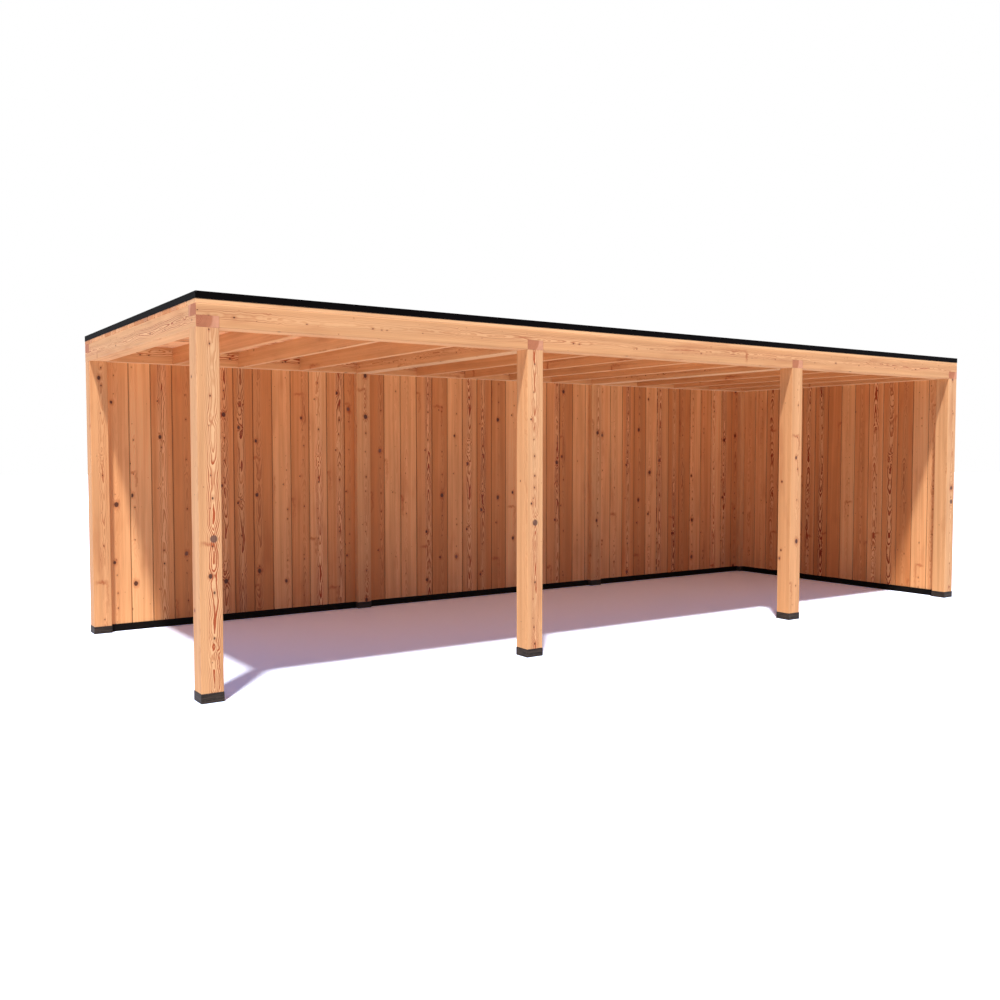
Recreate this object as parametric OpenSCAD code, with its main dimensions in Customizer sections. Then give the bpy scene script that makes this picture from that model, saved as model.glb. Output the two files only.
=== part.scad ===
// Timber carport with an open front and one open end.
// Four lines of posts carry half-lapped beams, joists and a flat boarded roof.
// Boarded walls close the back and the right-hand end.
// Millimetres, +X along the front, +Y to the back, +Z up.
// The origin is on the ground, in the middle of the footprint.

/* [Frame] */
// Side of the square posts, and width of the beams above them
post_side = 145; // [120:5:180]
// Length of the posts, from the foot to the underside of the beams
post_length = 2275; // [1900:25:2600]
// Spacing of the post lines in the two end bays, centre to centre
end_bay = 2500; // [1800:50:3000]
// Spacing of the post lines in the middle bay, centre to centre
middle_bay = 3000; // [2000:50:3600]
// Spacing of the front and back posts, centre to centre
bay_depth = 2880; // [2000:20:4000]
// Height of the beams
beam_h = 145; // [120:5:180]
// Width of the bevel along the edges of posts, beams and joists
arris = 4; // [2:1:8]
// Play beside each lapped or mitred joint
joint_play = 0.5; // [0.2:0.1:1]

/* [Feet and sills] */
// Height of the feet and of the sills under the walls
base_h = 63; // [40:1:100]
// How far a foot stands out past each face of its post
foot_margin = 2.5; // [1:0.5:8]
// Width of the sills under the walls
sill_w = 50; // [40:1:80]

/* [Walls] */
// Thickness of the wall boards
board_t = 28; // [20:1:40]
// Width that one board covers
board_w = 187; // [120:1:220]
// Depth of the V along each joint between boards
vee = 5; // [2:0.5:8]

/* [Roof] */
// Thickness of the joists
joist_w = 45; // [38:1:70]
// Height of the joists, level with the top of the beams
joist_h = 145; // [95:5:180]
// Number of joists in each end bay
end_joists = 3; // [2:1:4]
// Number of joists in the middle bay
middle_joists = 4; // [2:1:5]
// Thickness of the roof boards
deck_t = 28; // [18:1:40]
// Width that one roof board covers
deck_board_w = 178; // [120:1:220]
// Thickness of the roof membrane
membrane_t = 3; // [1:0.5:6]
// Height of the edge trim above the roof boards
trim_h = 45; // [35:1:80]
// Thickness of the edge trim
trim_t = 2; // [2:0.5:4]
// Width of the edge trim's top lip
trim_lip = 14; // [8:1:24]
// Width of the edge trim's flange on the roof
trim_flange = 60; // [40:1:100]
// How far the edge trim stands out past the beams
trim_overhang = 1.5; // [0:0.5:2]

/* [Hidden] */
timber_colour = "#dda06c";
board_colour = "#c98955";
base_colour = "#464443";
trim_colour = "#252324";

// Centre lines of the posts, and the frame's outer size over the posts
post_x = [-middle_bay / 2 - end_bay, -middle_bay / 2, middle_bay / 2, middle_bay / 2 + end_bay];
post_y = [-bay_depth / 2, bay_depth / 2];
frame_l = 2 * end_bay + middle_bay + post_side;
frame_d = bay_depth + post_side;

// Levels from the ground up
beam_z = base_h + post_length;
lap_z = beam_z + beam_h / 2;
deck_z = beam_z + beam_h;
roof_z = deck_z + deck_t;

// How far a cutter reaches past the face that it opens
past = 1;

// Names of the rows, post lines, bays and edges
rows = ["front", "back"];
lines = ["left", "mid_left", "mid_right", "right"];
bays = ["left", "middle", "right"];
edges = ["front", "right", "back", "left"];

// Centre lines of the joists, with equal gaps between the cross beams of each bay
joists_in = [end_joists, middle_joists, end_joists];
function joist_gap(bay) =
    (post_x[bay + 1] - post_x[bay] - post_side - joists_in[bay] * joist_w) / (joists_in[bay] + 1);
joist_x = [
    for (bay = [0 : len(bays) - 1], k = [1 : joists_in[bay]])
        post_x[bay] + post_side / 2 + k * joist_gap(bay) + (k - 0.5) * joist_w
];

// A rectangle centred across X, standing on the X axis, with its corners bevelled
function bevelled(w, h, b) = [
    [b - w / 2, 0], [w / 2 - b, 0], [w / 2, b], [w / 2, h - b],
    [w / 2 - b, h], [b - w / 2, h], [-w / 2, h - b], [-w / 2, b]
];

// Bars of a given section that run along X or Y, from their middle
module along_x(length) rotate([90, 0, 90]) translate([0, 0, -length / 2]) linear_extrude(length) children();
module along_y(length) rotate([90, 0, 0]) translate([0, 0, -length / 2]) linear_extrude(length) children();

// A box that cuts from its middle in X and Y, upwards from its base
module cutter(x, y, z) translate([-x / 2, -y / 2, 0]) cube([x, y, z]);

// Places of the joints between boards of a given cover width, from one end of a span
function board_joints(span, cover) = [for (x = [cover : cover : span - 3 * vee]) x];

// One face of a boarded panel, from one end to the other, with a V at each joint
function boarded_face(span, cover, y, inward) = [
    [0, y],
    for (x = board_joints(span, cover)) each [[x - vee, y], [x, y + inward * vee], [x + vee, y]],
    [span, y]
];
function reversed(points) = [for (k = [len(points) - 1 : -1 : 0]) points[k]];

// Section of a panel of boards with a V on both faces at each joint
function panel_outline(span, cover, t) =
    concat(boarded_face(span, cover, -t / 2, 1), reversed(boarded_face(span, cover, t / 2, -1)));

module post(line, row)
    color(timber_colour)
    translate([post_x[line], post_y[row] - post_side / 2, base_h])
    linear_extrude(post_length) polygon(bevelled(post_side, post_side, arris));

// A block whose top edges slope in to the outline of the post
module foot(line, row) {
    side = post_side + 2 * foot_margin;
    color(base_colour)
    translate([post_x[line], post_y[row], 0])
    intersection() {
        along_x(side) polygon(bevelled(side, base_h, foot_margin));
        along_y(side) polygon(bevelled(side, base_h, foot_margin));
        translate([0, -side / 2, 0]) linear_extrude(base_h) polygon(bevelled(side, side, foot_margin));
    }
}

// Runs over the cross beams: its lower half is cut away where they pass
module long_beam(row)
    color(timber_colour)
    translate([0, post_y[row], beam_z])
    difference() {
        along_x(frame_l) polygon(bevelled(post_side, beam_h, arris));
        for (x = post_x)
            translate([x, 0, -past])
                cutter(post_side + 2 * joint_play, post_side + 2 * past, beam_h / 2 + past);
    }

// Lies on the front and back posts: its upper half is cut away under the long beams
module cross_beam(line)
    color(timber_colour)
    translate([post_x[line], 0, beam_z])
    difference() {
        along_y(frame_d) polygon(bevelled(post_side, beam_h, arris));
        for (y = post_y)
            translate([0, y, beam_h / 2])
                cutter(post_side + 2 * past, post_side + 2 * joint_play, beam_h / 2 + past);
    }

// Fits between the front and back beams
module joist(k)
    color(timber_colour)
    translate([joist_x[k], 0, deck_z - joist_h])
    along_y(bay_depth - post_side) polygon(bevelled(joist_w, joist_h, arris));

// A panel of upright boards between two posts, on the sill and under the beam
module wall(span)
    color(board_colour)
    translate([-span / 2, 0, base_h])
    linear_extrude(post_length) polygon(panel_outline(span, board_w, board_t));

// A rail on the ground between two feet
module sill(span)
    color(base_colour)
    along_x(span - 2 * foot_margin) polygon(bevelled(sill_w, base_h, foot_margin));

// Middle and clear width of a bay of the back wall
function bay_middle(bay) = (post_x[bay] + post_x[bay + 1]) / 2;
function bay_clear(bay) = post_x[bay + 1] - post_x[bay] - post_side;

module back_wall(bay) translate([bay_middle(bay), post_y[1], 0]) wall(bay_clear(bay));
module back_sill(bay) translate([bay_middle(bay), post_y[1], 0]) sill(bay_clear(bay));
module right_wall() translate([post_x[3], 0, 0]) rotate(-90) wall(bay_depth - post_side);
module right_sill() translate([post_x[3], 0, 0]) rotate(-90) sill(bay_depth - post_side);

// Boards side by side from front to back, with the joints showing underneath
module roof_deck()
    color(board_colour)
    translate([0, -frame_d / 2, deck_z])
    along_x(frame_l)
    polygon(concat(boarded_face(frame_d, deck_board_w, 0, 1), [[frame_d, deck_t], [0, deck_t]]));

// A sheet over the whole roof, up to the inside of the edge trim
module roof_membrane() {
    inset = trim_t - trim_overhang + joint_play;
    color(trim_colour)
    translate([0, 0, roof_z]) cutter(frame_l - 2 * inset, frame_d - 2 * inset, membrane_t);
}

// Section of the edge trim: an upright face, a top lip, and a flange over the membrane
trim_outline = [
    [0, 0], [trim_t, 0], [trim_t, membrane_t], [trim_flange, membrane_t],
    [trim_flange, membrane_t + trim_t], [trim_t, membrane_t + trim_t],
    [trim_t, trim_h - trim_t], [trim_lip, trim_h - trim_t], [trim_lip, trim_h], [0, trim_h]
];

// One length of edge trim, mitred at both ends; edges go round from the front
module roof_trim(edge) {
    across = [frame_d, frame_l, frame_d, frame_l][edge] + 2 * trim_overhang;
    length = [frame_l, frame_d, frame_l, frame_d][edge] + 2 * trim_overhang - 2 * joint_play;
    color(trim_colour)
    rotate(90 * edge)
    translate([0, -across / 2, roof_z])
    intersection() {
        along_x(length) polygon(trim_outline);
        linear_extrude(trim_h) polygon([
            [-length / 2, 0], [length / 2, 0],
            [length / 2 - trim_flange, trim_flange], [trim_flange - length / 2, trim_flange]
        ]);
    }
}

for (row = [0 : 1], line = [0 : 3])
    post(line, row);
for (row = [0 : 1], line = [0 : 3])
    foot(line, row);
for (row = [0 : 1])
    long_beam(row);
for (line = [0 : 3])
    cross_beam(line);
for (k = [1 : len(joist_x)])
    joist(k - 1);
for (bay = [0 : 2])
    back_wall(bay);
for (bay = [0 : 2])
    back_sill(bay);
right_wall();
right_sill();
roof_deck();
roof_membrane();
for (edge = [0 : 3])
    roof_trim(edge);
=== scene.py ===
"""Looks of a timber carport: lapped frame, boarded walls and roof, black feet, sills and roof edge."""

import math
import random

import bmesh
import bpy
from mathutils import Matrix, Vector


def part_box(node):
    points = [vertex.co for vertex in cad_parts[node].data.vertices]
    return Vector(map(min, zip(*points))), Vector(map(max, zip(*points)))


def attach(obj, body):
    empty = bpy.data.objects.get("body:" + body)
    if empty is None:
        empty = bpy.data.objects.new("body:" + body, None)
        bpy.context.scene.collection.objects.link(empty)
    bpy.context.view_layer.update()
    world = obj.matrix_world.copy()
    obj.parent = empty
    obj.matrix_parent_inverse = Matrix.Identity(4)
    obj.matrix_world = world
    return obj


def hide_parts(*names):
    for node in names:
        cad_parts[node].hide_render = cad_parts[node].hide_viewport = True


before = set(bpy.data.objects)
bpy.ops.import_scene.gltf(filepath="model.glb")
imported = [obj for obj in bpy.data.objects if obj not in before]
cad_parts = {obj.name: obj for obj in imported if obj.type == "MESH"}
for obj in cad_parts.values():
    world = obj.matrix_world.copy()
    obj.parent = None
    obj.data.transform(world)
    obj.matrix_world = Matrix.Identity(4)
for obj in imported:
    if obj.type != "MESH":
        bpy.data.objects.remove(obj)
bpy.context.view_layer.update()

# Names of the frame's rows, post lines, bays and roof edges
ROWS = ("front", "back")
LINES = ("left", "mid_left", "mid_right", "right")
BAYS = ("left", "middle", "right")
EDGES = ("front", "right", "back", "left")
JOISTS = range(1, 11)
X, Y, Z = range(3)

# Sizes in metres
ARRIS = 0.005             # rounding along the edges of posts, beams and joists
SAWN_EDGE = 0.0012        # rounding round the sawn ends
LAP_PLAY = 0.0005         # play beside a lapped joint
BOARD_COVER = 0.187       # width that one wall board covers
DECK_COVER = 0.178        # width that one roof board covers
BOARD_GAP = 0.005         # open joint between two boards
BOARD_VEE = 0.005         # bevel beside the open joint
TONGUE = 0.009            # how far a tongue reaches past its board
TONGUE_HALF = 0.004       # half of the tongue's thickness
GROOVE_PLAY = 0.0004      # play round a tongue in its groove
BLOCK_EDGE = 0.005        # rounding of the feet and sills
TRIM_SHEET = 0.002        # thickness of the edge trim
TRIM_LIP = 0.014          # width of the edge trim's top lip
TRIM_FLANGE = 0.060       # width of the edge trim's flange
TRIM_EDGE = 0.0008        # rounding of the edge trim's corners
SHEET_STRIP = 1.0         # width of one strip of roof sheet
SHEET_STEP = 0.001        # how far a strip's lapped edge stands up
FACE_SHIFT = 5.3          # how far apart a piece's faces lie in the pattern of knots
NO_KNOT = 99.0            # place of the large knot on a piece that has none
TOUCH = 0.00001           # two corners as near as this are at one place

# How far a direction has to lie along an axis, from 0 to 1
ALONG_EDGE = 0.999        # for an edge that runs along it
ALONG_END = 0.6           # for the normal of an end face


# Shader trees

class Value:
    """One socket of a shader tree. Arithmetic on it adds Math nodes."""

    def __init__(self, finish, socket):
        self.finish = finish
        self.socket = socket

    def math(self, operation, *others):
        return self.finish.math(operation, self, *others)

    def other(self, name):
        """Another output of the same node."""
        return Value(self.finish, self.socket.node.outputs[name])

    def __add__(self, other):
        return self.math("ADD", other)

    def __sub__(self, other):
        return self.math("SUBTRACT", other)

    def __rsub__(self, other):
        return self.finish.math("SUBTRACT", other, self)

    def __mul__(self, other):
        return self.math("MULTIPLY", other)

    def __truediv__(self, other):
        return self.math("DIVIDE", other)

    __radd__ = __add__
    __rmul__ = __mul__


class Finish:
    """A material under construction."""

    def __init__(self, name):
        self.material = bpy.data.materials.new(name)
        self.material.use_nodes = True
        self.tree = self.material.node_tree
        self.tree.nodes.clear()

    def add(self, kind, settings=None, inputs=None, output=0):
        """Adds a node: its settings first, then the values or links of its sockets."""
        node = self.tree.nodes.new(kind)
        for key, setting in (settings or {}).items():
            setattr(node, key, setting)
        for key, value in (inputs or {}).items():
            if isinstance(value, Value):
                self.tree.links.new(value.socket, node.inputs[key])
            else:
                node.inputs[key].default_value = value
        return Value(self, node.outputs[output]) if node.outputs else None

    def math(self, operation, *values):
        return self.add("ShaderNodeMath", {"operation": operation}, dict(enumerate(values)))

    def attribute(self, name, output):
        return self.add("ShaderNodeAttribute", {"attribute_name": name}, output=output)

    def object_place(self):
        return self.add("ShaderNodeTexCoord", output="Object")

    def vector(self, x=0.0, y=0.0, z=0.0):
        return self.add("ShaderNodeCombineXYZ", inputs={0: x, 1: y, 2: z})

    def parts(self, vector):
        first = self.add("ShaderNodeSeparateXYZ", inputs={0: vector})
        return first, first.other("Y"), first.other("Z")

    def stretch(self, vector, x, y, z):
        return self.add("ShaderNodeVectorMath", {"operation": "MULTIPLY"}, {0: vector, 1: (x, y, z)})

    def noise(self, vector, scale, detail=2.0, rough=0.5):
        return self.add("ShaderNodeTexNoise", inputs={
            "Vector": vector, "Scale": scale, "Detail": detail, "Roughness": rough})

    def pattern(self, place, waves, detail=2.0, rough=0.5):
        """Noise with its own number of waves to a metre along each axis."""
        return self.noise(self.stretch(place, *waves), 1.0, detail, rough)

    def cells(self, vector, scale):
        """Distance to the middle of the nearest of many scattered flat cells."""
        return self.add("ShaderNodeTexVoronoi", {"voronoi_dimensions": "2D"},
                        {"Vector": vector, "Scale": scale})

    def smooth(self, value, low, high):
        """Rises from 0 at low to 1 at high, or falls where low is above high."""
        return self.add("ShaderNodeMapRange", {"interpolation_type": "SMOOTHSTEP"},
                        {0: value, 1: low, 2: high})

    def mix(self, factor, first, second, blend="MIX"):
        settings = {"data_type": "RGBA", "blend_type": blend, "clamp_factor": True}
        return self.add("ShaderNodeMix", settings, {0: factor, 6: first, 7: second}, output=2)

    def shade(self, colour, level):
        """Makes a colour lighter or darker by a value round 1."""
        return self.mix(1.0, colour, self.vector(level, level, level), blend="MULTIPLY")

    def bump(self, height, strength, distance):
        return self.add("ShaderNodeBump", inputs={
            "Strength": strength, "Distance": distance, "Height": height})

    def surface(self, **sockets):
        """Closes the tree with a Principled shader; a socket's name has _ for a space."""
        inputs = {key.replace("_", " "): value for key, value in sockets.items()}
        self.output(self.add("ShaderNodeBsdfPrincipled", inputs=inputs))
        return self.material

    def output(self, shader):
        self.add("ShaderNodeOutputMaterial", inputs={"Surface": shader})


def srgb(red, green, blue):
    """A colour written as 0 to 255, as the shader's linear values."""
    def linear(level):
        level /= 255
        return level / 12.92 if level <= 0.04045 else ((level + 0.055) / 1.055) ** 2.4
    return (linear(red), linear(green), linear(blue), 1.0)


# Planed timber

RING = 0.0078             # mean width of a year's growth
SIDE_WANDER = 0.055       # how far the heart of the log strays to the side along its length
DEPTH_WANDER = 0.050      # how far it strays towards the face and away
FIGURE_SIDE = (0.055, 0.018)      # beside the heart's line on a face: where its figure starts and is full
FIGURE_DEPTH = (0.050, 0.026)     # the same, from the heart itself
SAPWOOD = 0.085           # where the pale wood starts, from the heart of the log
BROWN_HEART = 0.85 * SAPWOOD      # where the wood is brown all through
KNOT_CELLS = 4.2          # cells of the knots to a metre
KNOT_BARE = 0.74          # share of those cells without a knot
KNOT_GROWTH = 0.036       # radius of a knot, times its cell's chance beyond that share
PIN_CELLS = 17.0          # the same of the pin knots
PIN_BARE = 0.9
PIN_GROWTH = 0.013
LARGE_KNOT = 0.024        # radius of the one large knot on some posts
HEART_KNOTS = 0.22        # how much likelier knots are along the heart's line
BRANCH_CELLS = 1.6        # cells of the branches cut lengthwise, to a metre
BRANCH_SHARE = (0.52, 0.67)       # chance of a cell where a branch starts to show and is full

# Branches cut lengthwise, in metres from the middle of a cell: where they start and are full
ARM_WIDE = (0.024, 0.001)
ARM_LONG = (0.075, 0.010)
ARM_SHIFT = 0.020
TAIL_WIDE = (0.016, 0.001)
TAIL_SHIFT = 0.025
TAIL_TIP = (-0.40, -0.04)
TAIL_ROOT = (0.01, -0.01)

# Patterns: waves to a metre along each axis, detail and roughness
WARP = (26, 16, 0), 3.0, 0.6              # uneven outlines of knots and branches
RIPPLE = (16, 16, 2.4), 3.0, 0.55         # rings that bend
BLISTER = (24, 24, 11.0), 2.0, 0.5        # rings in small blisters
BURR = (3, 3, 2.6), 1.0, 0.5              # places with more of those
FIBRE = (420, 420, 7), 2.0, 0.6
STREAK = (42, 42, 0.45), 3.0, 0.65
CLOUD = (14, 14, 1.3), 2.0, 0.5
STAIN = (9, 9, 1.6), 3.0, 0.5
WARP_REACH = 0.07
RIPPLE_REACH = 0.018
BLISTER_REACH = 0.006
BURR_REACH = 0.030

CREAM = srgb(252, 218, 174)
STRAW = srgb(241, 196, 148)
AMBER = srgb(220, 152, 99)
RUST = srgb(190, 96, 54)
RUSSET = srgb(142, 60, 32)
KNOT_BROWN = srgb(56, 22, 15)
KNOT_GREY = srgb(108, 78, 70)
BRANCH_RED = srgb(178, 90, 50)
END_PALE = srgb(228, 168, 140)
END_BROWN = srgb(190, 122, 92)
END_RUST = srgb(160, 88, 66)


class Timber(Finish):
    """Planed softwood, drawn in the round from each piece's place in its log."""

    def __init__(self, name):
        super().__init__(name)
        self.grain = self.attribute("grain", "Vector")
        self.across, self.through, self.along = self.parts(self.grain)
        self.level, self.warmth, self.contrast = self.parts(self.attribute("tone", "Vector"))
        self.climb, self.mark, self.streaky = self.parts(self.attribute("habit", "Vector"))
        self.sawn = self.attribute("sawn", "Fac")
        self.planed = 1 - self.sawn
        self.face = self.add("ShaderNodeUVMap", {"uv_map": "face"})
        self.beside = self.parts(self.face)[0]
        self.warp = (self.pattern(self.face, *WARP) - 0.5) * WARP_REACH
        self.find_heart()
        self.grow_knots()
        self.grow_pins()
        self.grow_large_knot()
        self.grow_branches()
        self.grow_rings()

    def find_heart(self):
        """Distance from the heart of the log, which strays as it grows, and nearness to its line."""
        side = self.noise(self.vector(z=self.along), 2.6, 3.0, 0.6) - 0.5
        depth = self.noise(self.vector(1.0, z=self.along), 1.5, 1.0) - 0.5
        heart_x = self.across + side * SIDE_WANDER
        heart_y = self.through + depth * DEPTH_WANDER
        self.radius = (heart_x * heart_x + heart_y * heart_y + 1e-6).math("SQRT")
        line = self.beside - (self.beside / FACE_SHIFT).math("ROUND") * FACE_SHIFT
        over = self.smooth(line.math("ABSOLUTE"), *FIGURE_SIDE)
        self.near = over * self.smooth(self.radius, *FIGURE_DEPTH)

    def grow_knots(self):
        """Knots on each face, uneven in outline, in a reddish halo, and how far they push the rings."""
        cell = self.cells(self.stretch(self.face, 1, 0.8, 0), KNOT_CELLS)
        pick, self.knot_kind, _ = self.parts(cell.other("Color"))
        beyond = (pick + self.near * HEART_KNOTS - KNOT_BARE).math("MAXIMUM", 0.0)
        size = beyond * KNOT_GROWTH * self.planed
        reach = cell / KNOT_CELLS / (size + 0.0006) * (1 + self.warp * 16)
        self.knot = self.smooth(reach, 1.2, 0.8) * self.smooth(size, 0.0006, 0.002)
        self.halo = self.smooth(reach, 3.0, 0.8) * self.smooth(size, 0.001, 0.006)
        self.push = (reach * reach * -0.2).math("EXPONENT") * size * 0.9

    def grow_pins(self):
        """Pin knots, most of them along the heart's line."""
        cell = self.cells(self.stretch(self.face, 1, 0.7, 0), PIN_CELLS)
        pick = self.parts(cell.other("Color"))[0] + self.near * (HEART_KNOTS + self.contrast * 0.12)
        size = (pick - PIN_BARE).math("MAXIMUM", 0.0) * PIN_GROWTH * self.planed
        reach = cell / PIN_CELLS / (size + 0.0003)
        shows = self.smooth(size, 0.0002, 0.0008)
        self.pin = self.smooth(reach, 1.25, 0.75) * shows
        self.halo = self.halo + self.smooth(reach, 4.5, 1.0) * shows * 0.7

    def grow_large_knot(self):
        """The one large knot, on the first face only."""
        reach = (self.beside * self.beside + self.mark * self.mark).math("SQRT") / LARGE_KNOT
        self.large = self.smooth(reach, 1.15, 0.8)
        self.push = self.push + (reach * reach * -0.12).math("EXPONENT") * LARGE_KNOT * 0.8

    def grow_branches(self):
        """Branches cut lengthwise: an arm across the grain and a tail along it from one end."""
        cell = self.cells(self.face, BRANCH_CELLS)
        place = self.add("ShaderNodeVectorMath", {"operation": "SUBTRACT"},
                         {0: self.face, 1: cell.other("Position")})
        x, y, _ = self.parts(place)
        arm = self.smooth((y + self.warp).math("ABSOLUTE"), *ARM_WIDE)
        arm = arm * self.smooth((x + ARM_SHIFT).math("ABSOLUTE"), *ARM_LONG)
        tail = self.smooth((x - TAIL_SHIFT + self.warp).math("ABSOLUTE"), *TAIL_WIDE)
        tail = tail * self.smooth(y, *TAIL_TIP) * self.smooth(y, *TAIL_ROOT)
        shows = self.smooth(self.parts(cell.other("Color"))[0], *BRANCH_SHARE)
        self.branch = arm.math("MAXIMUM", tail * 0.7) * shows * self.planed

    def grow_rings(self):
        """Growth rings, narrowing up the log, blistered in places and pushed aside by the knots."""
        ripple = self.pattern(self.grain, *RIPPLE) - 0.5
        blister = self.pattern(self.grain, *BLISTER) - 0.5
        burr = self.smooth(self.pattern(self.grain, *BURR), 0.5, 0.66)
        bend = ripple * RIPPLE_REACH + blister * (BLISTER_REACH + burr * BURR_REACH)
        rings = (self.radius + self.climb + self.push + bend) / RING
        ring = rings.math("FLOOR")
        year = self.add("ShaderNodeTexWhiteNoise", {"noise_dimensions": "1D"}, {"W": ring})
        part = rings - ring
        late = self.smooth(part, 0.30, 0.88) * self.smooth(part, 1.0, 0.93)
        bold = self.smooth(self.noise(self.vector(2.0, z=self.along), 1.3, 1.0), 0.36, 0.58)
        strength = 0.14 + self.near * (0.35 + bold * 0.85)
        self.lines = late * (0.4 + year * 0.75) * self.contrast * strength
        self.pale = self.near * (1 - late) * self.contrast

    def planed_colour(self, streak):
        """Colour of the faces along the grain: streaks and rings, reddish stains, then knots."""
        stain = self.smooth(self.pattern(self.grain, *STAIN), 0.56, 0.74)
        early = self.mix(self.warmth - streak * 0.7, STRAW, AMBER)
        early = self.mix(self.pale * 0.3, early, CREAM)
        body = self.mix(self.lines, early, self.mix(self.warmth, RUST, RUSSET))
        red = stain * 0.25 + self.halo * 0.5 + self.branch * 0.62
        body = self.mix(red * self.planed, body, BRANCH_RED)
        knot_colour = self.mix(self.smooth(self.knot_kind, 0.75, 0.9), KNOT_BROWN, KNOT_GREY)
        body = self.mix(self.knot * 0.9, body, knot_colour)
        body = self.mix(self.large * 0.9, body, KNOT_GREY)
        return self.mix(self.pin * 0.85, body, KNOT_BROWN)

    def sawn_colour(self):
        """Colour of the ends, where the rings lie round a brown heart."""
        end = self.mix(self.smooth(self.radius, SAPWOOD, BROWN_HEART), END_PALE, END_BROWN)
        return self.mix(self.lines, end, END_RUST)

    def finished(self):
        """Brings colour, fibres and slow changes of tone together, with painted shade and some dirt
        inside the open joints.
        """
        fibre = self.pattern(self.grain, *FIBRE)
        cloud = self.pattern(self.grain, *CLOUD)
        streak = (self.smooth(self.pattern(self.grain, *STREAK), 0.32, 0.68) - 0.5) * self.streaky
        colour = self.mix(self.sawn * 0.9, self.planed_colour(streak), self.sawn_colour())
        tone = 0.75 + fibre * 0.2 + cloud * 0.3 + streak * 0.26
        # painted shade, with some dirt, on the faces inside the open joints
        shade_and_dirt_in_joints = self.attribute("joint_shade_and_dirt", "Fac")
        height = fibre * 0.5 - self.lines * 0.35 - self.knot * 0.4
        return self.surface(
            Base_Color=self.shade(colour, self.level * tone * (1 - shade_and_dirt_in_joints * 0.5)),
            Roughness=0.66 - self.lines * 0.12 - self.knot * 0.15,
            Normal=self.bump(height, 0.35, 0.0012),
            Specular_IOR_Level=0.3,
        )


# Black finishes

BASE_BLACK = srgb(20, 17, 16)
BASE_GREY = srgb(64, 57, 53)
BASE_WORN = srgb(80, 76, 74)
COAT_BLACK = srgb(6, 4, 4)
COAT_RUBBED = srgb(16, 13, 12)
GRIT_BLACK = srgb(30, 30, 32)
GRIT_GREY = srgb(72, 72, 74)
DUST = srgb(108, 104, 98)


def base_finish(name, level, sheen):
    """Black composite of the feet and sills, faintly streaked along its length; level sets its
    brightness, and the sills' far darker copy is painted shade.
    """
    base = Finish(name)
    place = base.object_place()
    streak = base.pattern(place, (9, 9, 160), 3.0, 0.6)
    speck = base.noise(place, 420.0, 2.0, 0.7)
    worn = base.smooth(base.noise(place, 26.0, 4.0, 0.6), 0.55, 0.75)
    body = base.mix(base.smooth(streak, 0.3, 0.7), BASE_BLACK, BASE_GREY)
    body = base.mix(worn * 0.35, body, BASE_WORN)
    return base.surface(
        Base_Color=base.shade(body, level * (0.82 + speck * 0.36)),
        Roughness=0.62 + streak * 0.16,
        Normal=base.bump(streak * 0.6 + speck * 0.4, 0.3, 0.0015),
        Specular_IOR_Level=sheen,
    )


def trim_finish(name):
    """Black powder coat: a fine orange peel and faint handling marks."""
    coat = Finish(name)
    place = coat.object_place()
    peel = coat.noise(place, 900.0, 2.0)
    rub = coat.smooth(coat.pattern(place, (3, 3, 60), 4.0, 0.65), 0.5, 0.72)
    body = coat.mix(rub * 0.5, COAT_BLACK, COAT_RUBBED)
    return coat.surface(
        Base_Color=body,
        Roughness=0.62 + rub * 0.12,
        Normal=coat.bump(peel, 0.12, 0.0006),
        Specular_IOR_Level=0.03,
    )


def sheet_finish(name):
    """Mineral-faced roof sheet: fine grit, with dust settled in patches."""
    sheet = Finish(name)
    place = sheet.object_place()
    grit = sheet.noise(place, 700.0, 2.0, 0.7)
    dust = sheet.smooth(sheet.noise(place, 1.6, 5.0, 0.6), 0.42, 0.7)
    body = sheet.mix(sheet.smooth(grit, 0.35, 0.7), GRIT_BLACK, GRIT_GREY)
    body = sheet.mix(dust * 0.3, body, DUST)
    return sheet.surface(
        Base_Color=body,
        Roughness=0.86 + dust * 0.08,
        Normal=sheet.bump(grit, 0.4, 0.0012),
        Specular_IOR_Level=0.3,
    )


timber = Timber("planed_timber").finished()
# The feet and sills are lit and shaded copies of one finish: the sills' low level is painted shade, as
# they stand in shade under the roof.
foot_black = base_finish("black_foot", level=1.15, sheen=0.22)
sill_black_painted_shade = base_finish("black_sill_painted_shade", level=0.12, sheen=0.08)
trim_black = trim_finish("roof_trim")
sheet_black = sheet_finish("roof_sheet")


# Shapes

def block(low, high):
    """A block between two corners."""
    bm = bmesh.new()
    place = Matrix.Translation((low + high) / 2) @ Matrix.Diagonal((*(high - low), 1))
    bmesh.ops.create_cube(bm, size=1, matrix=place)
    return bm


def drawn_out(outline, depth, place):
    """An outline in its own X and Y, drawn out along its Z, then put in place."""
    bm = bmesh.new()
    face = bm.faces.new([bm.verts.new((x, y, 0)) for x, y in outline])
    moved = bmesh.ops.extrude_face_region(bm, geom=[face])["geom"]
    new = [item for item in moved if isinstance(item, bmesh.types.BMVert)]
    bmesh.ops.translate(bm, verts=new, vec=(0, 0, depth))
    bmesh.ops.transform(bm, matrix=place, verts=bm.verts)
    bmesh.ops.recalc_face_normals(bm, faces=bm.faces)
    return bm


def soften(bm, edges, width, segments):
    bmesh.ops.bevel(bm, geom=edges, offset=width, offset_type="OFFSET", affect="EDGES",
                    segments=segments, profile=0.5, material=-1, clamp_overlap=True)


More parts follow.
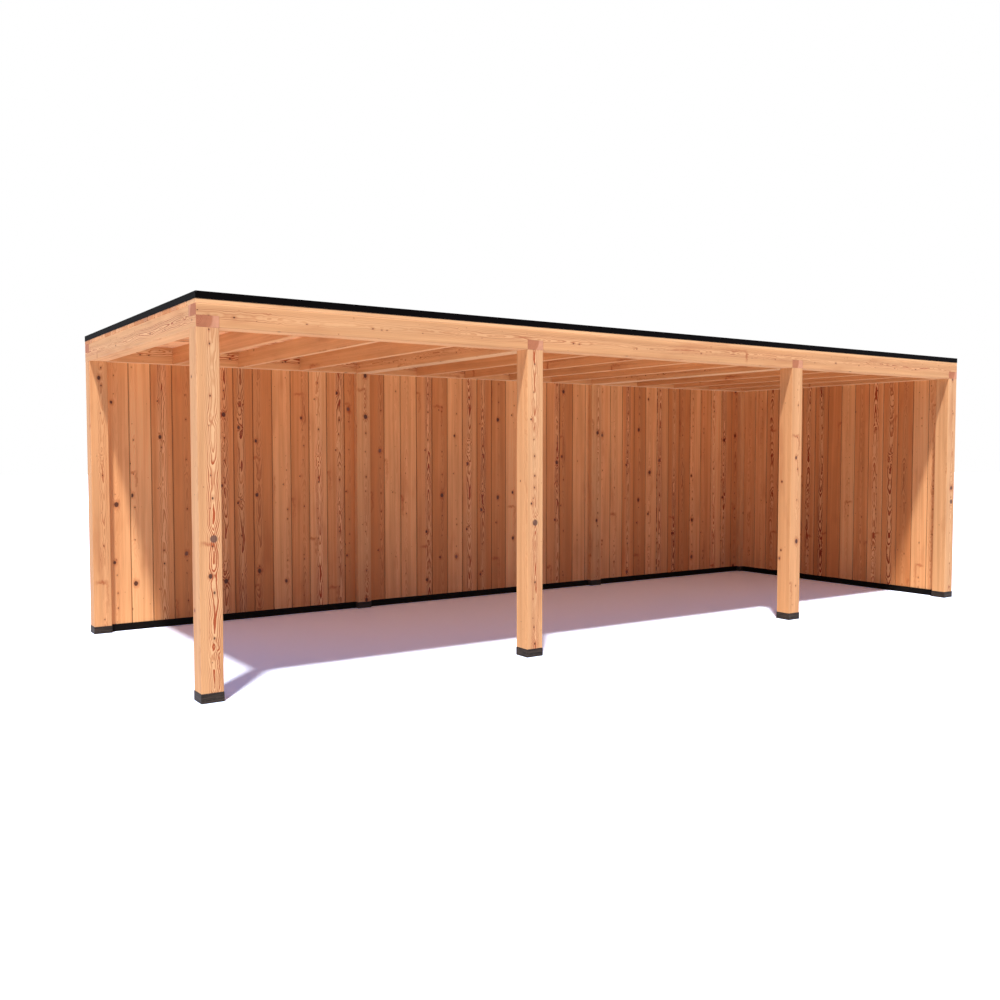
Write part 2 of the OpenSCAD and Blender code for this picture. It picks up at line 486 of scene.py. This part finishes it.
def long_edges(bm, axis, low, high):
    """Edges along an axis at the outer corners of a bar between two corners."""
    sides = [side for side in (X, Y, Z) if side != axis]

    def at_corner(vert):
        return all(min(abs(vert.co[s] - low[s]), abs(vert.co[s] - high[s])) < TOUCH for s in sides)

    def runs_along(edge):
        way = edge.verts[1].co - edge.verts[0].co
        return abs(way[axis]) > ALONG_EDGE * way.length

    return [e for e in bm.edges if runs_along(e) and all(at_corner(v) for v in e.verts)]


def end_edges(bm, axis, low, high):
    """Edges round the two ends of a bar."""
    def at_end(vert):
        return min(abs(vert.co[axis] - low[axis]), abs(vert.co[axis] - high[axis])) < TOUCH
    return [e for e in bm.edges if all(at_end(v) for v in e.verts)]


def stamp_log(bm, axis, centre, heart, lean, start, tone, taper, streaky, growth,
              ends=1.0, knot=NO_KNOT):
    """Writes each corner's place in the log that the piece was cut from, and the piece's own tone.

    heart is the log's heart across the piece, lean its slope along it, start its place along the
    log, taper how fast its rings close in, growth their width, streaky how much its tone changes
    from side to side, and knot the place of its large knot along the axis. Faces across the grain
    are marked as sawn, as strongly as ends says. Each of the others is mapped flat, from the line
    beside the heart.
    """
    first, second = [side for side in (X, Y, Z) if side != axis]
    grain = bm.verts.layers.float_vector.new("grain")
    tones = bm.verts.layers.float_vector.new("tone")
    habit = bm.verts.layers.float_vector.new("habit")
    sawn = bm.faces.layers.float.new("sawn")
    flat = bm.loops.layers.uv.new("face")
    for vert in bm.verts:
        away = vert.co - centre
        vert[grain] = Vector(((away[first] - heart[0] + lean[0] * away[axis]) / growth,
                              (away[second] - heart[1] + lean[1] * away[axis]) / growth,
                              away[axis] + start))
        vert[tones] = Vector(tone)
        vert[habit] = Vector((away[axis] * taper / growth, vert.co[axis] - knot, streaky))
    bm.normal_update()
    for face in bm.faces:
        face[sawn] = ends if abs(face.normal[axis]) > ALONG_END else 0.0
        turned = abs(face.normal[first]) > abs(face.normal[second])
        wide, facing = (second, first) if turned else (first, second)
        shift = FACE_SHIFT * (2 * turned + (face.normal[facing] > 0))
        line = heart[0] if wide == first else heart[1]
        for loop in face.loops:
            away = loop.vert.co - centre
            loop[flat].uv = (away[wide] - line + shift, away[axis] + start)


def finish_piece(name, bm, finish):
    """Makes a bmesh the piece that stands for the CAD node of the same name."""
    mesh = bpy.data.meshes.new(name + "_piece")
    bm.to_mesh(mesh)
    bm.free()
    mesh.materials.append(finish)
    piece = bpy.data.objects.new(name + "_piece", mesh)
    bpy.context.scene.collection.objects.link(piece)
    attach(piece, "root")
    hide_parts(name)
    return piece


# Frame of posts, beams and joists

FIGURE = {                # how strongly the growth rings show on some of the bars
    "front_post_left": 1.4, "front_post_mid_left": 1.4, "front_post_mid_right": 0.4,
    "front_post_right": 0.6, "front_beam": 0.55, "back_beam": 2.0, "cross_beam_left": 0.9,
}
BAR_FIGURE = 0.6          # and on the other posts and beams
JOIST_FIGURE = 0.3
LARGE_KNOTS = {           # height of the one large knot on some of the posts
    "front_post_left": 1.03, "front_post_mid_left": 1.03, "front_post_right": 1.03,
}
CENTRED_POST = "front_post_mid_left"      # its heart lies behind the middle of its front
POST_HEART = (0.25, 0.5), (-0.95, -0.75)  # the heart from a bar's middle, in half widths, from and to
BEAM_HEART = (-1.0, -0.85), (-0.2, 0.3)
JOIST_HEART = (3.0, 5.0), (-1.4, 1.4)
BAR_LEAN = (0.004, 0.012)     # slope of the heart along a bar, to either side
BEAM_LEAN = (-0.004, 0.004)
SIDE_LEAN = (-0.008, 0.008)
BAR_TAPER = (0.03, 0.06)      # how fast the rings close in along a log, from and to
BEAM_TAPER = (0.002, 0.008)
BAR_LEVEL = (0.95, 0.99)      # brightness of a bar, from and to
BAR_WARMTH = (0.1, 0.35)
JOIST_WARMTH = 0.3            # how much warmer the joists are
BAR_STREAKY = 0.35
BAR_GROWTH = 1.2              # width of the rings, times their mean
FIGURED_GROWTH = 1.3
LOG_LENGTH = 60.0             # metres of log that the pieces are cut from
BAR_SEED = 7

bar_chance = random.Random(BAR_SEED)


def log_for_bar(name, side):
    """Where a square bar was cut from its log, which settles the faces that show its figure."""
    half = side / 2
    warmth = bar_chance.uniform(*BAR_WARMTH)
    lean = bar_chance.choice((-1, 1)) * bar_chance.uniform(*BAR_LEAN)
    taper, figure = BAR_TAPER, BAR_FIGURE
    if "post" in name:
        heart = [bar_chance.uniform(*limits) * half for limits in POST_HEART]
        if name == CENTRED_POST:
            heart[0] = 0.0
    elif "_beam" in name:
        heart = [bar_chance.uniform(*limits) * half for limits in BEAM_HEART]
        lean = bar_chance.uniform(*BEAM_LEAN)
        taper = BEAM_TAPER
    else:
        heart = [bar_chance.uniform(*limits) * half for limits in JOIST_HEART]
        warmth += JOIST_WARMTH
        figure = JOIST_FIGURE
    return {
        "heart": heart,
        "lean": (bar_chance.uniform(*SIDE_LEAN), lean),
        "start": bar_chance.uniform(0, LOG_LENGTH),
        "taper": bar_chance.choice((-1, 1)) * bar_chance.uniform(*taper),
        "streaky": BAR_STREAKY,
        "tone": (bar_chance.uniform(*BAR_LEVEL), warmth, FIGURE.get(name, figure)),
        "growth": FIGURED_GROWTH if name in FIGURE else BAR_GROWTH,
        "knot": LARGE_KNOTS.get(name, NO_KNOT),
    }


def finish_bar(name, bm, axis):
    """Rounds a bar's edges, gives it its grain and makes it a piece."""
    low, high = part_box(name)
    soften(bm, long_edges(bm, axis, low, high), ARRIS, segments=3)
    soften(bm, end_edges(bm, axis, low, high), SAWN_EDGE, segments=1)
    side = min(high - low)
    stamp_log(bm, axis, (low + high) / 2, **log_for_bar(name, side))
    finish_piece(name, bm, timber)


def lap_level(low, high):
    return (low.z + high.z) / 2


def long_beam(name):
    """A beam along the front or back, notched from below over each cross beam."""
    low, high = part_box(name)
    lap = lap_level(low, high)
    outline = [(low.x, lap)]
    notches = [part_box(f"cross_beam_{line}") for line in LINES]
    for (_, before), (after, _) in zip(notches, notches[1:]):
        from_x, to_x = before.x + LAP_PLAY, after.x - LAP_PLAY
        outline += [(from_x, lap), (from_x, low.z), (to_x, low.z), (to_x, lap)]
    outline += [(high.x, lap), (high.x, high.z), (low.x, high.z)]
    upright = Matrix.Translation((0, high.y, 0)) @ Matrix.Rotation(math.pi / 2, 4, "X")
    finish_bar(name, drawn_out(outline, high.y - low.y, upright), X)


def cross_beam(name):
    """A beam from front to back, cut down at both ends to pass under the long beams."""
    low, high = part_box(name)
    lap = lap_level(low, high)
    front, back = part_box("front_beam")[1].y + LAP_PLAY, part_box("back_beam")[0].y - LAP_PLAY
    outline = [(low.y, low.z), (high.y, low.z), (high.y, lap), (back, lap),
               (back, high.z), (front, high.z), (front, lap), (low.y, lap)]
    turned = Matrix(((0, 0, 1, low.x), (1, 0, 0, 0), (0, 1, 0, 0), (0, 0, 0, 1)))
    finish_bar(name, drawn_out(outline, high.x - low.x, turned), Y)


for row in ROWS:
    for line in LINES:
        post = f"{row}_post_{line}"
        finish_bar(post, block(*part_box(post)), Z)
    long_beam(f"{row}_beam")
for line in LINES:
    cross_beam(f"cross_beam_{line}")
for number in JOISTS:
    joist = f"joist_{number}"
    finish_bar(joist, block(*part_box(joist)), Y)


# Boards of the walls and the roof

def board_outline(start, end, half, first, last):
    """Section of a tongued and grooved board, bevelled beside its open joints."""
    left = start if first else start + BOARD_GAP / 2
    right = end if last else end - BOARD_GAP / 2
    inner = half - BOARD_VEE
    outline = [(left, -inner), (left + BOARD_VEE, -half), (right - BOARD_VEE, -half), (right, -inner)]
    if not last:
        reach = end + TONGUE
        outline += [(right, -TONGUE_HALF), (reach, -TONGUE_HALF),
                    (reach, TONGUE_HALF), (right, TONGUE_HALF)]
    outline += [(right, inner), (right - BOARD_VEE, half), (left + BOARD_VEE, half), (left, inner)]
    if not first:
        depth, wide = start + TONGUE + 2 * GROOVE_PLAY, TONGUE_HALF + GROOVE_PLAY
        outline += [(left, wide), (depth, wide), (depth, -wide), (left, -wide)]
    return outline


PALE = (1.12, 1.20), (0.3, 0.55)        # brightness and warmth of a pale board, each from and to
PLAIN = (1.03, 1.13), (0.55, 0.95)
DARK = (0.94, 1.02), (0.9, 1.2)
QUIET = (0.1, 0.4)              # figure of a board cut clear of the heart
FIGURED = (1.05, 1.4)           # figure of a board cut through the heart
EDGE_TONE = (1.1, 0.0, 0.2)     # brightness, warmth and figure along the roof's front edge
BOARD_ROW = (                   # kinds of board that follow each other, alike on every wall
    (*PALE, QUIET), (*PALE, QUIET), (*PLAIN, FIGURED), (*DARK, QUIET), (*PALE, QUIET),
    (*PLAIN, FIGURED), (*DARK, FIGURED), (*DARK, QUIET), (*PALE, QUIET), (*PLAIN, QUIET),
    (*PALE, FIGURED), (*PLAIN, FIGURED), (*DARK, QUIET),
)
EXTRA_BOARDS = {"back_wall_middle": 1}      # boards that come before the row's first one
BOARD_HEART = (-0.06, 0.06), (-0.008, 0.008)      # the heart from a board's middle, from and to
BOARD_LEAN = (-0.006, 0.006), (-0.01, 0.01)
BOARD_TAPER = (0.03, 0.1)
BOARD_STREAKY = 0.45
BOARD_GROWTH = 1.5
DECK_ENDS = 0.15                # how far the ends of the roof boards look sawn, from 0 to 1


def log_for_board(name, slot, index, chance):
    """Where a board was cut from its log: near the heart or well out from it."""
    roof = slot == "roof_boards"
    kind = BOARD_ROW[(index - EXTRA_BOARDS.get(name, 0)) % len(BOARD_ROW)]
    tone = [chance.uniform(*limits) for limits in kind]
    if roof and index == 0:
        tone = EDGE_TONE
    return {
        "heart": [chance.uniform(*limits) for limits in BOARD_HEART],
        "lean": [chance.uniform(*limits) for limits in BOARD_LEAN],
        "start": chance.uniform(0, LOG_LENGTH),
        "taper": chance.choice((-1, 1)) * chance.uniform(*BOARD_TAPER),
        "streaky": BOARD_STREAKY,
        "tone": tone,
        "growth": BOARD_GROWTH,
        "ends": DECK_ENDS if roof else 1.0,
    }


def darken_joints(bm, place, span, half):
    """Marks the faces inside the open joints, where little light and some dirt gets in, with painted
    shade and dirt, darker the deeper they lie.
    """
    joint_shade_and_dirt = bm.faces.layers.float.new("joint_shade_and_dirt")
    flat = place.inverted()
    for face in bm.faces:
        middle = flat @ face.calc_center_median()
        outermost = not BOARD_VEE < middle.x < span - BOARD_VEE
        end = abs((flat.to_3x3() @ face.normal).z) > ALONG_END
        depth = (half - abs(middle.y)) / BOARD_VEE
        face[joint_shade_and_dirt] = 0.0 if outermost or end else min(1.0, depth * depth)


def boards(name, slot, span, length, thickness, cover, place, axis):
    """A row of boards in one piece: span wide, drawn out along the place's own Z."""
    whole = bmesh.new()
    chance = random.Random(name)
    count = math.ceil(span / cover)
    for index in range(count):
        start, end = index * cover, min((index + 1) * cover, span)
        outline = board_outline(start, end, thickness / 2, index == 0, index == count - 1)
        bm = drawn_out(outline, length, place)
        centre = place @ Vector(((start + end) / 2, 0, length / 2))
        stamp_log(bm, axis, centre, **log_for_board(name, slot, index, chance))
        darken_joints(bm, place, span, thickness / 2)
        part = bpy.data.meshes.new("board")
        bm.to_mesh(part)
        bm.free()
        whole.from_mesh(part)
        bpy.data.meshes.remove(part)
    finish_piece(name, whole, timber)


def back_wall(name):
    """Upright boards between two of the back posts, laid from left to right."""
    low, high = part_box(name)
    size = high - low
    place = Matrix.Translation((low.x, (low.y + high.y) / 2, low.z))
    boards(name, "wall_boards", size.x, size.z, size.y, BOARD_COVER, place, Z)


def end_wall(name):
    """Upright boards across the right end, laid from the back to the front."""
    low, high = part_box(name)
    size = high - low
    corner = Matrix.Translation(((low.x + high.x) / 2, high.y, low.z))
    place = corner @ Matrix.Rotation(-math.pi / 2, 4, "Z")
    boards(name, "wall_boards", size.y, size.z, size.x, BOARD_COVER, place, Z)


def roof_deck(name):
    """Boards along the roof, laid from the front to the back."""
    low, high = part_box(name)
    size = high - low
    middle = (low.z + high.z) / 2
    place = Matrix(((0, 0, 1, low.x), (1, 0, 0, low.y), (0, 1, 0, middle), (0, 0, 0, 1)))
    boards(name, "roof_boards", size.y, size.x, size.z, DECK_COVER, place, X)


for bay in BAYS:
    back_wall(f"back_wall_{bay}")
end_wall("right_wall")
roof_deck("roof_deck")


# Feet and sills

def black_base(name, finish):
    bm = block(*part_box(name))
    soften(bm, bm.edges[:], BLOCK_EDGE, segments=3)
    finish_piece(name, bm, finish)


for row in ROWS:
    for line in LINES:
        black_base(f"{row}_foot_{line}", foot_black)
for bay in BAYS:
    black_base(f"back_sill_{bay}", sill_black_painted_shade)
black_base("right_sill", sill_black_painted_shade)


# Roof sheet and edge trim

def roof_sheet(name):
    """Strips of sheet side by side, each lapped a little over the next."""
    low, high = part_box(name)
    steps = math.ceil((high.x - low.x) / SHEET_STRIP)
    outline = [(low.x, low.z), (high.x, low.z), (high.x, high.z)]
    for step in range(steps - 1, 0, -1):
        seam = low.x + step * SHEET_STRIP
        outline += [(seam, high.z - SHEET_STEP), (seam, high.z)]
    outline += [(low.x, high.z - SHEET_STEP)]
    upright = Matrix.Translation((0, high.y, 0)) @ Matrix.Rotation(math.pi / 2, 4, "X")
    finish_piece(name, drawn_out(outline, high.y - low.y, upright), sheet_black)


def roof_trim(name, turn):
    """One mitred length of edge trim: an upright face, a top lip and a flange over the sheet."""
    low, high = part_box(name)
    size = high - low
    length, height = max(size.x, size.y), size.z
    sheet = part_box("roof_membrane")
    bed = sheet[1].z - sheet[0].z
    outline = [
        (0, 0), (TRIM_SHEET, 0), (TRIM_SHEET, bed), (TRIM_FLANGE, bed),
        (TRIM_FLANGE, bed + TRIM_SHEET), (TRIM_SHEET, bed + TRIM_SHEET),
        (TRIM_SHEET, height - TRIM_SHEET), (TRIM_LIP, height - TRIM_SHEET),
        (TRIM_LIP, height), (0, height),
    ]
    bm = drawn_out(outline, length, Matrix.Identity(4))
    for vert in bm.verts:
        inward = vert.co.x
        vert.co.z += -inward if vert.co.z > length / 2 else inward
    edges = [e for e in bm.edges if abs((e.verts[1].co - e.verts[0].co).z) > length / 2]
    soften(bm, edges, TRIM_EDGE, segments=2)
    outer = {"front": -low.y, "right": high.x, "back": high.y, "left": -low.x}[turn]
    lay = Matrix(((0, 0, 1, -length / 2), (1, 0, 0, -outer), (0, 1, 0, low.z), (0, 0, 0, 1)))
    spin = Matrix.Rotation(EDGES.index(turn) * math.pi / 2, 4, "Z")
    bmesh.ops.transform(bm, matrix=spin @ lay, verts=bm.verts)
    finish_piece(name, bm, trim_black)


roof_sheet("roof_membrane")
for edge in EDGES:
    roof_trim(f"roof_trim_{edge}", edge)


# Floor, light and camera

FLOOR_SIZE = 120.0
SUN_WAY = Vector((0.25, 0.29, -1.0))      # the way the key light travels
SUN_LEVEL = 5.5
SUN_COLOUR = (1.0, 0.90, 0.78)
SUN_SOFTNESS = math.radians(4.0)
SKY_LEVEL = 0.34
SKY_COLOUR = (0.47, 0.58, 1.0, 1.0)
WHITE = (1.0, 1.0, 1.0, 1.0)
LIFT_LEVEL = 1.2                          # soft light up from the ground, on undersides only
LIFT_COLOUR = (0.60, 0.77, 1.0)
FLOOR_SEEN = (1.00, 1.19, 1.59, 1.0)      # whitened where the camera sees it
FLOOR_BOUNCE = srgb(194, 181, 170)
CAMERA_PLACE = (-6.025, -7.671, 1.585)
CAMERA_TURN = 0.5986                      # radians from +Y towards +X
CAMERA_DIP = 0.0500                       # radians below the level
CAMERA_LENS = 36.2                        # millimetres, and so is the width of its frame
CAMERA_FRAME = 36.0


def seen_straight(finish):
    """1 for what the camera sees directly or in a reflection, else 0."""
    path = finish.add("ShaderNodeLightPath")
    looks = [path, path.other("Is Glossy Ray"), path.other("Is Transmission Ray")]
    return looks[0].math("MAXIMUM", looks[1]).math("MAXIMUM", looks[2])


def lay_floor():
    ground = Finish("pale_floor")
    colour = ground.mix(seen_straight(ground), FLOOR_BOUNCE, FLOOR_SEEN)
    ground.output(ground.add("ShaderNodeBsdfDiffuse", inputs={"Color": colour}))
    bm = bmesh.new()
    bmesh.ops.create_grid(bm, x_segments=1, y_segments=1, size=FLOOR_SIZE / 2)
    mesh = bpy.data.meshes.new("floor")
    bm.to_mesh(mesh)
    bm.free()
    mesh.materials.append(ground.material)
    floor = bpy.data.objects.new("floor", mesh)
    bpy.context.scene.collection.objects.link(floor)


class Sky(Finish):
    """The world's own shader tree."""

    def __init__(self):
        world = bpy.data.worlds.new("soft_sky")
        world.use_nodes = True
        self.tree = world.node_tree
        self.tree.nodes.clear()
        bpy.context.scene.world = world

    def output(self, shader):
        self.add("ShaderNodeOutputWorld", inputs={"Surface": shader})


def add_sun(name, way, level, colour):
    lamp = bpy.data.lights.new(name, "SUN")
    lamp.energy = level
    lamp.color = colour
    lamp.angle = SUN_SOFTNESS
    sun = bpy.data.objects.new(name, lamp)
    sun.rotation_euler = way.to_track_quat("-Z", "Y").to_euler()
    bpy.context.scene.collection.objects.link(sun)
    return lamp


def light_scene():
    sky = Sky()
    direct = seen_straight(sky)
    level = direct + (1 - direct) * SKY_LEVEL
    colour = sky.mix(direct, SKY_COLOUR, WHITE)
    sky.output(sky.add("ShaderNodeBackground", inputs={"Color": colour, "Strength": level}))
    add_sun("key", SUN_WAY, SUN_LEVEL, SUN_COLOUR)
    add_sun("lift", Vector((0, 0, 1)), LIFT_LEVEL, LIFT_COLOUR).use_shadow = False


def place_camera():
    lens = bpy.data.cameras.new("camera")
    lens.sensor_width = CAMERA_FRAME
    lens.lens = CAMERA_LENS
    lens.clip_end = 2 * FLOOR_SIZE
    camera = bpy.data.objects.new("camera", lens)
    camera.location = CAMERA_PLACE
    camera.rotation_euler = (math.pi / 2 - CAMERA_DIP, 0, -CAMERA_TURN)
    bpy.context.scene.collection.objects.link(camera)
    bpy.context.scene.camera = camera


lay_floor()
light_scene()
place_camera()
bpy.context.scene.view_settings.view_transform = "Standard"
